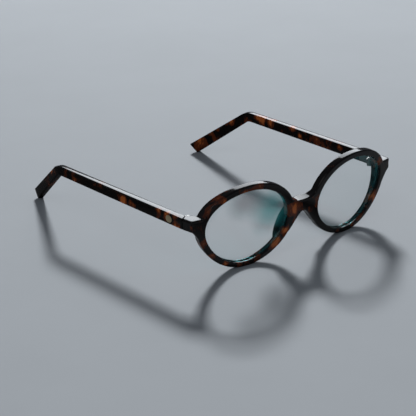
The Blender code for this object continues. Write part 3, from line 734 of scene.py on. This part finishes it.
def flare_skin(side):
    """Return the curved web under an endpiece, where it runs out of the rim."""
    outer = unbend(HALF_WIDTH, CORNER.y, BAR_HEIGHT - ENDPIECE_HEIGHT / 2)
    edge = shape().rim_edge
    rings = []
    for step in range(FLARE_STEPS + 1):
        run = FLARE_REACH * step / FLARE_STEPS
        low = outer.y - FLARE_DROP * (run / FLARE_REACH) ** FLARE_POWER
        x = outer.x - run - edge
        section = upright_section(low, outer.y + ENDPIECE_HEIGHT / 2, RIM_DEPTH, edge)
        rings.append([(side * x, up, back) for up, back in section])
    return sweep(bmesh.new(), rings)


def endpiece_ring(side, z, inset):
    """Return one level of an endpiece as flat places."""
    level = unbend(HALF_WIDTH, CORNER.y, z)
    inner = HALF_WIDTH - ENDPIECE_THICKNESS
    back = ENDPIECE_REACH + MITRE_RUN
    root = inner - BACK_RUN
    front = []
    middle = (level.x - ENDPIECE_CORNER, ENDPIECE_CORNER)
    rounded = arc(middle, ENDPIECE_CORNER - inset, -pi / 2, 0, ENDPIECE_CORNER_STEPS)
    for x, depth in [(level.x - ENDPIECE_ROOT, inset)] + rounded:
        point = bend((x, level.y, depth))
        front.append((point.x, point.y))
    seam = [(HALF_WIDTH - inset, ENDPIECE_REACH + inset * MITRE_SLOPE), (inner, back)]
    seam += [(root, back - MITRE_RUN), (root - BACK_EDGE, back - 2 * MITRE_RUN)]
    return mirrored([unbend(x, y, z) for x, y in front + seam], side)


def endpiece_skin(side):
    """Return an endpiece as levels from its underside to its top."""
    edge = ENDPIECE_EDGE
    low = BAR_HEIGHT - ENDPIECE_HEIGHT / 2
    high = BAR_HEIGHT + ENDPIECE_HEIGHT / 2
    turns = [pi / 2 * step / ENDPIECE_EDGE_STEPS for step in range(ENDPIECE_EDGE_STEPS + 1)]
    levels = [(low + edge * (1 - cos(turn)), edge * (1 - sin(turn))) for turn in turns]
    levels += [(high - edge * (1 - sin(turn)), edge * (1 - cos(turn))) for turn in turns]
    return sweep(bmesh.new(), [endpiece_ring(side, z, inset) for z, inset in levels])


def leaf_pocket(name, side):
    """Return the pocket in an endpiece that takes the hinge leaf."""
    inner = HALF_WIDTH - ENDPIECE_THICKNESS
    start = Vector((inner, ENDPIECE_REACH + MITRE_RUN))
    run = Vector((-BACK_RUN, -MITRE_RUN)).normalized()
    normal = Vector((run.y, -run.x))
    pivot = Vector((HINGE_X, HINGE_Y))
    foot = start + run * (pivot - start).dot(run)
    near = -LEAF_WEB / 2 - LEAF_GAP
    far = LEAF_FRONT_LENGTH - LEAF_WEB / 2 + LEAF_GAP
    deep = LEAF_THICKNESS + LEAF_GAP
    corners = [(near, OVERRUN), (far, OVERRUN), (far, -deep), (near, -deep)]
    plan = [foot + run * along + normal * off for along, off in corners]
    half = STACK_HALF + LEAF_GAP
    outline = [(side * point.x, point.y) for point in plan]
    return prism(outline, HINGE_HEIGHT - half, HINGE_HEIGHT + half, name)


class GLASSES_OT_front(bpy.types.Operator):
    """Make the front: rims, bridge and endpieces, polished into one and bent round the face"""

    bl_idname = "glasses.front"
    bl_label = "Front"

    def execute(self, context):
        whole = bmesh.new()
        skins = [rim_skin(1), rim_skin(-1), bridge_skin()]
        for side in SIDES.values():
            skins += [flare_skin(side), endpiece_skin(side)]
        for skin in skins:
            bmesh.ops.recalc_face_normals(skin, faces=skin.faces)
            part = bpy.data.meshes.new("skin")
            skin.to_mesh(part)
            skin.free()
            whole.from_mesh(part)
            bpy.data.meshes.remove(part)
        mesh = bpy.data.meshes.new("front")
        whole.to_mesh(mesh)
        whole.free()
        front = bpy.data.objects.new("front", mesh)
        context.scene.collection.objects.link(front)
        remesh = front.modifiers.new("join", "REMESH")
        remesh.mode = "VOXEL"
        remesh.voxel_size = shape().grain
        applied(front)

        bm = bmesh.new()
        bm.from_mesh(front.data)
        for _ in range(shape().polish):
            bmesh.ops.smooth_vert(bm, verts=bm.verts, factor=POLISH_FACTOR,
                                  use_axis_x=True, use_axis_y=True, use_axis_z=True)
        for vert in bm.verts:
            vert.co = bend(vert.co)
            vert.co.z = max(vert.co.z, 0.0)
        settle(bm)
        bpy.data.objects.remove(front, do_unlink=True)
        front = to_object(bm, "front", bpy.data.materials["tortoiseshell_front"])
        cut(front, [leaf_pocket("pocket_" + name, side) for name, side in SIDES.items()])
        carried(front, "front", "acetate", "front_frame")
        return {"FINISHED"}


def path_direction(drop, turn):
    return Vector((-sin(turn) * cos(drop), cos(turn) * cos(drop), -sin(drop)))


def temple_path(run):
    """Return the middle of a temple behind its hinge, and its ways forward, out and up."""
    place = Vector((HALF_WIDTH, HINGE_Y, BAR_HEIGHT))
    place += path_direction(TEMPLE_FALL, 0.0) * min(run, EAR_START)
    part = min(max(run - EAR_START, 0.0), EAR_BOW) / EAR_BOW
    for step in range(EAR_SLICES):
        middle = part * (step + 0.5) / EAR_SLICES
        drop = TEMPLE_FALL + (EAR_DROP - TEMPLE_FALL) * middle
        place += path_direction(drop, EAR_TURN * middle) * EAR_BOW * part / EAR_SLICES
    drop = TEMPLE_FALL + (EAR_DROP - TEMPLE_FALL) * part
    turn = EAR_TURN * part
    forward = path_direction(drop, turn)
    place += forward * max(run - EAR_START - EAR_BOW, 0.0)
    out = Vector((cos(turn), sin(turn), 0))
    return place, forward, out, out.cross(forward)


def temple_size(run):
    """Return a temple's height and thickness at a distance behind its hinge."""
    if run < TEMPLE_BEND:
        return TEMPLE_FRONT_SIZE.lerp(TEMPLE_BEND_SIZE, max(run, 0.0) / TEMPLE_BEND)
    share = (run - TEMPLE_BEND) / (TEMPLE_LENGTH - TEMPLE_BEND)
    return TEMPLE_BEND_SIZE.lerp(TEMPLE_TIP_SIZE, share)


def temple_section(height, thickness, trim=0.0):
    """Return a temple's section as (in, up) points, its outer face at 0."""
    half = height / 2 - trim
    outer = shape().temple_edge
    inner = TEMPLE_INNER_EDGE
    low = trim
    high = thickness - trim
    points = arc((low + outer, half - outer), outer, pi / 2, pi, TEMPLE_OUTER_STEPS)
    points += arc((low + outer, outer - half), outer, pi, 1.5 * pi, TEMPLE_OUTER_STEPS)
    points += arc((high - inner, inner - half), inner, -pi / 2, 0, TEMPLE_INNER_STEPS)
    points += arc((high - inner, half - inner), inner, 0, pi / 2, TEMPLE_INNER_STEPS)
    return points


def temple_ring(run, trim=0.0, slant=0.0):
    place, forward, out, up = temple_path(run)
    height, thickness = temple_size(run)
    return [place - out * inward + up * lift + forward * lift * slant
            for inward, lift in temple_section(height, thickness, trim)]


def temple_rings():
    """Return a temple from its mitred front end to its slanted tip."""
    height, thickness = temple_size(0.0)
    rings = []
    for trim, ahead in ((TEMPLE_MITRE_EDGE, 0.0), (0.0, TEMPLE_MITRE_EDGE)):
        start = ENDPIECE_REACH + SEAM_GAP + ahead
        section = temple_section(height, thickness, trim)
        rings.append([Vector((HALF_WIDTH - inward, start + inward * MITRE_SLOPE, BAR_HEIGHT + lift))
                      for inward, lift in section])
    bent = EAR_START + EAR_BOW
    tail = TEMPLE_RUN - TEMPLE_TIP_EDGE
    runs = [EAR_START * (step + 0.5) / TEMPLE_STEPS for step in range(TEMPLE_STEPS)]
    runs += [EAR_START + EAR_BOW * step / EAR_BOW_STEPS for step in range(EAR_BOW_STEPS + 1)]
    runs += [bent + (tail - bent) * step / EAR_STEPS for step in range(1, EAR_STEPS)]
    rings += [temple_ring(run) for run in runs]
    for step in range(TIP_STEPS + 1):
        turn = pi / 2 * step / TIP_STEPS
        run = tail + TEMPLE_TIP_EDGE * sin(turn)
        rings.append(temple_ring(run, TEMPLE_TIP_EDGE * (1 - cos(turn)), tan(TIP_SLANT)))
    return rings


def inlay_rings(side, grow, levels):
    """Return an oval on the outer face of a temple as rings at (out, shrink) levels."""
    place, forward, _, up = temple_path(INLAY_PLACE)
    rings = []
    for out, shrink in levels:
        ring = []
        for step in range(INLAY_STEPS):
            turn = 2 * pi * step / INLAY_STEPS
            point = place + forward * (INLAY_SIZE.x / 2 + grow - shrink) * cos(turn)
            point += up * (INLAY_SIZE.y / 2 + grow - shrink) * sin(turn)
            ring.append(Vector((place.x + out, point.y, point.z)))
        rings.append(mirrored(ring, side))
    return rings


class GLASSES_OT_temples(bpy.types.Operator):
    """Make both temples, with the pockets for hinge leaf and inlay"""

    bl_idname = "glasses.temples"
    bl_label = "Temples"

    def execute(self, context):
        inner = HALF_WIDTH - ENDPIECE_THICKNESS
        near, far = inner - OVERRUN, inner + LEAF_THICKNESS + LEAF_GAP
        end = HINGE_Y + LEAF_LENGTH + LEAF_GAP
        plan = [(near, ENDPIECE_REACH), (far, ENDPIECE_REACH), (far, end), (near, end)]
        low = HINGE_HEIGHT - STACK_HALF - LEAF_GAP
        high = HINGE_HEIGHT + STACK_HALF + LEAF_GAP
        levels = [(-INLAY_DEPTH - LEAF_GAP, 0.0), (OVERRUN, 0.0)]
        for name, side in SIDES.items():
            bm = sweep(bmesh.new(), [mirrored(ring, side) for ring in temple_rings()])
            for vert in bm.verts:
                vert.co.z = max(vert.co.z, 0.0)
            material = bpy.data.materials["tortoiseshell_" + name]
            temple = to_object(settle(bm), "temple_bar_" + name, material)
            pocket = prism([(side * x, y) for x, y in plan], low, high, "pocket_" + name)
            oval = sweep(bmesh.new(), inlay_rings(side, LEAF_GAP, levels))
            cut(temple, [pocket, to_object(settle(oval), "oval_" + name)])
            temple.data.shade_smooth()
            temple.data.set_sharp_from_angle(angle=TEMPLE_SHARP)
            carried(temple, "temple_" + name, "acetate", "temple_" + name)
        return {"FINISHED"}


class GLASSES_OT_inlays(bpy.types.Operator):
    """Make the oval metal inlays, with a soft edge and a shallow line round the middle"""

    bl_idname = "glasses.inlays"
    bl_label = "Inlays"

    def execute(self, context):
        soft = INLAY_EDGE * INLAY_EDGE_SHARE
        low = INLAY_PROUD - INLAY_LINE_DEPTH
        end = INLAY_LINE_PLACE + INLAY_LINE_WIDTH
        levels = [(-INLAY_DEPTH, 0.0), (INLAY_PROUD - INLAY_EDGE, 0.0), (INLAY_PROUD - soft, soft)]
        levels += [(INLAY_PROUD, INLAY_EDGE), (INLAY_PROUD, INLAY_LINE_PLACE)]
        levels += [(low, INLAY_LINE_PLACE + INLAY_LINE_SLOPE), (low, end - INLAY_LINE_SLOPE)]
        levels += [(INLAY_PROUD, end), (INLAY_PROUD, INLAY_FIELD)]
        gold = bpy.data.materials["pale_gold"]
        for name, side in SIDES.items():
            bm = sweep(bmesh.new(), inlay_rings(side, 0.0, levels))
            inlay = to_object(settle(bm), "inlay_oval_" + name, gold, INLAY_SHARP)
            carried(inlay, "temple_" + name, "gold", "inlay_" + name)
        return {"FINISHED"}


LENS_ANGLES = [2 * pi * step / LENS_STEPS for step in range(LENS_STEPS)]


def lens_loops(side, face, sag):
    """Return one face of a lens as loops from its middle to its edge."""
    middle = Vector((side * LENS_SPACING / 2, EYE_HEIGHT_PLACE, 0))
    loops = []
    for share in [LENS_CORE_SHARE] + [ring / LENS_RINGS for ring in range(1, LENS_RINGS + 1)]:
        loop = []
        for angle in LENS_ANGLES:
            place = middle + (on_eye(side, angle, -LENS_GAP, 0) - middle) * share
            place.z = GROOVE_PLACE + face - sag * (1 - share ** 2)
            loop.append(bend(place))
        loops.append(loop)
    return loops


class GLASSES_OT_lenses(bpy.types.Operator):
    """Make both lenses, with curved faces and a bevelled edge in the rim's groove"""

    bl_idname = "glasses.lenses"
    bl_label = "Lenses"

    def execute(self, context):
        bevel = [(-LENS_GAP, GROOVE_PLACE - GROOVE_HALF)]
        bevel += [(GROOVE_DEPTH - 2 * LENS_GAP, GROOVE_PLACE)]
        bevel += [(-LENS_GAP, GROOVE_PLACE + GROOVE_HALF)]
        clear = bpy.data.materials["coated_lens"]
        for name, side in SIDES.items():
            loops = lens_loops(side, -LENS_EDGE / 2, LENS_FRONT_SAG)
            for out, back in bevel:
                loops.append([bend(on_eye(side, angle, out, back)) for angle in LENS_ANGLES])
            loops += reversed(lens_loops(side, LENS_EDGE / 2, LENS_BACK_SAG))
            bm = settle(sweep(bmesh.new(), loops))
            lens = to_object(bm, "lens_clear_" + name, clear, LENS_SHARP)
            carried(lens, "front", "lens", "lens_" + name)
        return {"FINISHED"}


class GLASSES_OT_pads(bpy.types.Operator):
    """Make both nose pads: half of a long rounded lug, seated on the back of the rim"""

    bl_idname = "glasses.pads"
    bl_label = "Nose pads"

    def execute(self, context):
        material = bpy.data.materials["tortoiseshell_front"]
        backwards = Vector((0, 0, 1))
        for name, side in SIDES.items():
            root = on_eye(side, PAD_ANGLE, PAD_INSET, RIM_DEPTH)
            along = on_eye(side, PAD_ANGLE + PAD_TANGENT_STEP, 0, 0)
            along = (along - on_eye(side, PAD_ANGLE - PAD_TANGENT_STEP, 0, 0)).normalized()
            across = along.cross(backwards)
            if across.x * side < 0:
                across = -across
            back = backwards + across * tan(PAD_SPLAY)
            sizes = (across * PAD_THICKNESS / 2, back * PAD_PROJECTION, along * PAD_LENGTH / 2)
            turned = Matrix(sizes).transposed()
            bm = bmesh.new()
            bmesh.ops.create_uvsphere(bm, u_segments=PAD_STEPS_ROUND,
                                      v_segments=PAD_STEPS_ALONG, radius=1.0)
            for vert in bm.verts:
                vert.co = root + turned @ vert.co
            everything = bm.verts[:] + bm.edges[:] + bm.faces[:]
            seat = Vector((0, 0, RIM_DEPTH + PAD_GAP))
            bmesh.ops.bisect_plane(bm, geom=everything, plane_co=seat, plane_no=backwards,
                                   clear_inner=True)
            bmesh.ops.holes_fill(bm, edges=[edge for edge in bm.edges if edge.is_boundary])
            for vert in bm.verts:
                vert.co = bend(vert.co)
            pad = to_object(settle(bm), "nose_rest_" + name, material, PAD_SHARP)
            carried(pad, "front", "acetate", "nose_pad_" + name)
        return {"FINISHED"}


def softened(node, name, body, material, slot):
    """Stand a merged and bevelled copy of a small metal node in its place."""
    bm = bmesh.new()
    bm.from_mesh(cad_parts[node].data)
    bmesh.ops.remove_doubles(bm, verts=bm.verts, dist=METAL_MERGE)
    bmesh.ops.dissolve_limit(bm, angle_limit=METAL_FLAT, verts=bm.verts, edges=bm.edges)
    piece = to_object(bm, name, material, METAL_SHARP)
    modifier = piece.modifiers.new("edges", "BEVEL")
    modifier.width = METAL_EDGE
    modifier.segments = METAL_EDGE_STEPS
    modifier.limit_method = "ANGLE"
    modifier.angle_limit = METAL_EDGE_ANGLE
    return carried(piece, body, slot, node)


class GLASSES_OT_metal(bpy.types.Operator):
    """Give the hinge leaves and screws soft edges, and the core wires their metal"""

    bl_idname = "glasses.metal"
    bl_label = "Hinges and wires"

    def execute(self, context):
        steel = bpy.data.materials["brushed_steel"]
        for name in SIDES:
            hinge = f"hinge_{name}_"
            softened(hinge + "front_leaf", "leaf_front_" + name, "front", steel, "steel")
            softened(hinge + "screw", "screw_" + name, "front", steel, "steel")
            softened(hinge + "temple_leaf", "leaf_temple_" + name, "temple_" + name, steel, "steel")
            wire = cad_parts["core_wire_" + name]
            wire.data.materials.clear()
            wire.data.materials.append(steel)
        return {"FINISHED"}


# The brighter patches that the front and the temples show: a place, a size and a strength
FRONT_PATCHES = [
    ((-0.0389, -0.0773, 0.0408), 0.0032, 1.0),
    ((-0.0402, -0.0774, 0.0430), 0.0028, 0.8),
    ((-0.0299, -0.0784, 0.0419), 0.0034, 0.65),
    ((-0.0507, -0.0751, 0.0382), 0.0036, 0.85),
    ((-0.0586, -0.0732, 0.0345), 0.0040, 0.65),
    ((-0.0069, -0.0778, 0.0251), 0.0048, 0.95),
    ((-0.0110, -0.0763, 0.0137), 0.0028, 0.75),
    ((-0.0161, -0.0754, 0.0087), 0.0032, 0.75),
    ((-0.0577, -0.0714, 0.0184), 0.0040, 0.5),
    ((-0.0458, -0.0718, 0.0043), 0.0022, 0.75),
    ((-0.0390, -0.0726, 0.0028), 0.0020, 0.7),
    ((-0.0539, -0.0711, 0.0099), 0.0020, 0.5),
    ((-0.0128, -0.0770, 0.0202), 0.0020, 0.4),
    ((0.0441, -0.0724, 0.0076), 0.0040, 1.0),
    ((0.0374, -0.0729, 0.0040), 0.0028, 0.6),
    ((0.0563, -0.0710, 0.0132), 0.0036, 0.5),
    ((0.0180, -0.0791, 0.0396), 0.0034, 0.5),
    ((0.0251, -0.0741, 0.0025), 0.0030, 0.6),
    ((0.0610, -0.0713, 0.0230), 0.0024, 0.4),
]
RIGHT_PATCHES = [
    ((-0.0637, 0.0494, 0.0248), 0.0026, 0.9),
    ((-0.0607, 0.0606, 0.0165), 0.0026, 0.5),
    ((-0.0665, 0.0241, 0.0271), 0.0022, 0.7),
    ((-0.0665, -0.0190, 0.0272), 0.0036, 1.0),
    ((-0.0665, -0.0252, 0.0275), 0.0034, 0.9),
    ((-0.0665, -0.0463, 0.0309), 0.0028, 0.9),
    ((-0.0665, -0.0530, 0.0308), 0.0034, 0.95),
    ((-0.0665, -0.0585, 0.0308), 0.0034, 1.0),
    ((-0.0665, -0.0600, 0.0259), 0.0032, 0.95),
    ((-0.0556, 0.0797, 0.0031), 0.0022, 0.6),
    ((-0.0561, 0.0779, 0.0000), 0.0020, 0.5),
    ((-0.0665, -0.0356, 0.0258), 0.0024, 0.35),
]
LEFT_PATCHES = [
    ((0.0542, 0.0711, 0.0069), 0.0052, 1.0),
    ((0.0560, 0.0641, 0.0122), 0.0036, 0.55),
    ((0.0575, 0.0585, 0.0166), 0.0024, 0.6),
    ((0.0595, 0.0508, 0.0237), 0.0042, 0.9),
    ((0.0629, 0.0276, 0.0295), 0.0046, 1.0),
    ((0.0629, 0.0190, 0.0304), 0.0040, 0.95),
    ((0.0629, 0.0019, 0.0313), 0.0040, 0.95),
    ((0.0629, -0.0047, 0.0274), 0.0024, 0.8),
    ((0.0629, -0.0088, 0.0311), 0.0020, 0.7),
    ((0.0629, -0.0239, 0.0277), 0.0018, 0.85),
    ((0.0629, -0.0377, 0.0288), 0.0020, 0.9),
]

# Each acetate's patches, and the place in the cloudy pattern that it is cut from
ACETATES = {
    "front": (FRONT_PATCHES, (0.0, 0.0, 0.0)),
    "left": (LEFT_PATCHES, (0.31, 0.12, 0.05)),
    "right": (RIGHT_PATCHES, (0.57, 0.23, 0.11)),
}


class GLASSES_OT_materials(bpy.types.Operator):
    """Make the finishes of acetate, lens and metal"""

    bl_idname = "glasses.materials"
    bl_label = "Finishes"

    def execute(self, context):
        for name, (patches, offset) in ACETATES.items():
            tortoiseshell("tortoiseshell_" + name, patches, offset)
        coated_lens()
        grained_metal("brushed_steel", colours().steel, dark_share=0.82, scale=1500.0, along=9.0,
                      metallic=1.0, roughness=0.22, strength=0.12)
        grained_metal("pale_gold", colours().gold, dark_share=0.85, scale=900.0, along=1.0,
                      metallic=0.5, roughness=0.24, strength=0.08)
        return {"FINISHED"}


def way_to(azimuth, elevation):
    """Return the way out to an azimuth, turned from -Y towards +X, and an elevation."""
    return Vector((sin(azimuth) * cos(elevation), -cos(azimuth) * cos(elevation), sin(elevation)))


def lamp(name, place, target, width, power):
    """Add a soft square lamp that points at a target and doesn't show itself."""
    data = bpy.data.lights.new(name, "AREA")
    data.shape = "SQUARE"
    data.size = width
    data.energy = power
    light = bpy.data.objects.new(name, data)
    light.location = place
    light.rotation_euler = (Vector(target) - Vector(place)).to_track_quat("-Z", "Y").to_euler()
    light.visible_camera = False
    bpy.context.scene.collection.objects.link(light)
    return light


def softbox(name, reach, radiance):
    """Add a round lamp that only reflections show. Its reach is half the angle that it fills."""
    width = 2 * SOFTBOX_DISTANCE * tan(reach)
    power = radiance * pi * pi * width ** 2 / 4
    place = way_to(SOFTBOX_AZIMUTH, SOFTBOX_ELEVATION) * SOFTBOX_DISTANCE
    light = lamp("back_softbox_" + name, place, LAMP_TARGET, width, power)
    light.data.shape = "DISK"
    light.data.color = SOFTBOX_COLOUR
    light.visible_diffuse = False


def pale_floor():
    material, shader, place = start_material("pale_floor")
    base = Vector(colours().floor)
    pale = blend(noise(place, **FLOOR_NOISE), *[base * share for share in FLOOR_TONE_SHARES])
    behind = span(coordinate(place, "Y"), *FLOOR_DIM_SPAN)
    dim = blend(behind, *[base * share for share in FLOOR_DIM_SHARES])
    glossy = make(place.tree, "ShaderNodeLightPath", output="Is Glossy Ray")
    feed(shader, {"Base Color": blend(glossy, pale, dim), "Roughness": FLOOR_ROUGHNESS,
                  "Specular IOR Level": FLOOR_SPECULAR})
    return material


class GLASSES_OT_stage(bpy.types.Operator):
    """Set the floor, the lights and the camera"""

    bl_idname = "glasses.stage"
    bl_label = "Stage"

    def execute(self, context):
        scene = context.scene
        bm = bmesh.new()
        bmesh.ops.create_grid(bm, x_segments=FLOOR_CELLS, y_segments=FLOOR_CELLS, size=FLOOR_HALF)
        floor = to_object(bm, "floor", pale_floor())

        world = bpy.data.worlds.new("studio")
        world.use_nodes = True
        feed(world.node_tree.nodes["Background"], {"Color": SKY_COLOUR, "Strength": SKY_STRENGTH})
        scene.world = world
        key = lamp("back_key", KEY_WAY * KEY_DISTANCE, LAMP_TARGET, KEY_WIDTH, KEY_POWER)
        key.visible_glossy = False
        lamp("front_fill", FILL_PLACE, FILL_TARGET, FILL_WIDTH, FILL_POWER)
        for name, reach, radiance in SOFTBOXES:
            softbox(name, reach, radiance)

        scene.view_settings.view_transform = "Standard"
        camera = bpy.data.objects.new("camera", bpy.data.cameras.new("camera"))
        camera.data.lens = CAMERA_LENS
        camera.data.sensor_width = CAMERA_SENSOR
        camera.data.clip_start, camera.data.clip_end = CAMERA_CLIP
        back = way_to(CAMERA_AZIMUTH, CAMERA_ELEVATION)
        level = Vector((0, 0, 1)).cross(back).normalized()
        upward = back.cross(level)
        across = level * cos(CAMERA_ROLL) + upward * sin(CAMERA_ROLL)
        upward = upward * cos(CAMERA_ROLL) - level * sin(CAMERA_ROLL)
        turned = Matrix((across, upward, back)).transposed().to_4x4()
        camera.matrix_world = Matrix.Translation(CAMERA_PLACE) @ turned
        scene.collection.objects.link(camera)
        scene.camera = camera
        return {"FINISHED"}


OPERATORS = [GLASSES_OT_materials, GLASSES_OT_front, GLASSES_OT_temples, GLASSES_OT_inlays,
             GLASSES_OT_lenses, GLASSES_OT_pads, GLASSES_OT_metal, GLASSES_OT_stage]


class GLASSES_PT_panel(bpy.types.Panel):
    """Lists the glasses' operators"""

    bl_label = "Reading glasses"
    bl_idname = "GLASSES_PT_panel"
    bl_space_type = "VIEW_3D"
    bl_region_type = "UI"
    bl_category = "Glasses"

    def draw(self, context):
        for group in (context.scene.glasses_shape, context.scene.glasses_colours):
            for name in group.__annotations__:
                self.layout.prop(group, name)
        for operator in OPERATORS:
            self.layout.operator(operator.bl_idname)


CLASSES = [GlassesShape, GlassesColours, *OPERATORS, GLASSES_PT_panel]


def register():
    for item in CLASSES:
        bpy.utils.register_class(item)
    bpy.types.Scene.glasses_shape = PointerProperty(type=GlassesShape)
    bpy.types.Scene.glasses_colours = PointerProperty(type=GlassesColours)


def unregister():
    del bpy.types.Scene.glasses_colours
    del bpy.types.Scene.glasses_shape
    for item in reversed(CLASSES):
        bpy.utils.unregister_class(item)


def main():
    register()
    bpy.ops.glasses.materials()
    bpy.ops.glasses.front()
    bpy.ops.glasses.temples()
    bpy.ops.glasses.inlays()
    bpy.ops.glasses.lenses()
    bpy.ops.glasses.pads()
    bpy.ops.glasses.metal()
    bpy.ops.glasses.stage()


if __name__ == "__main__":
    main()
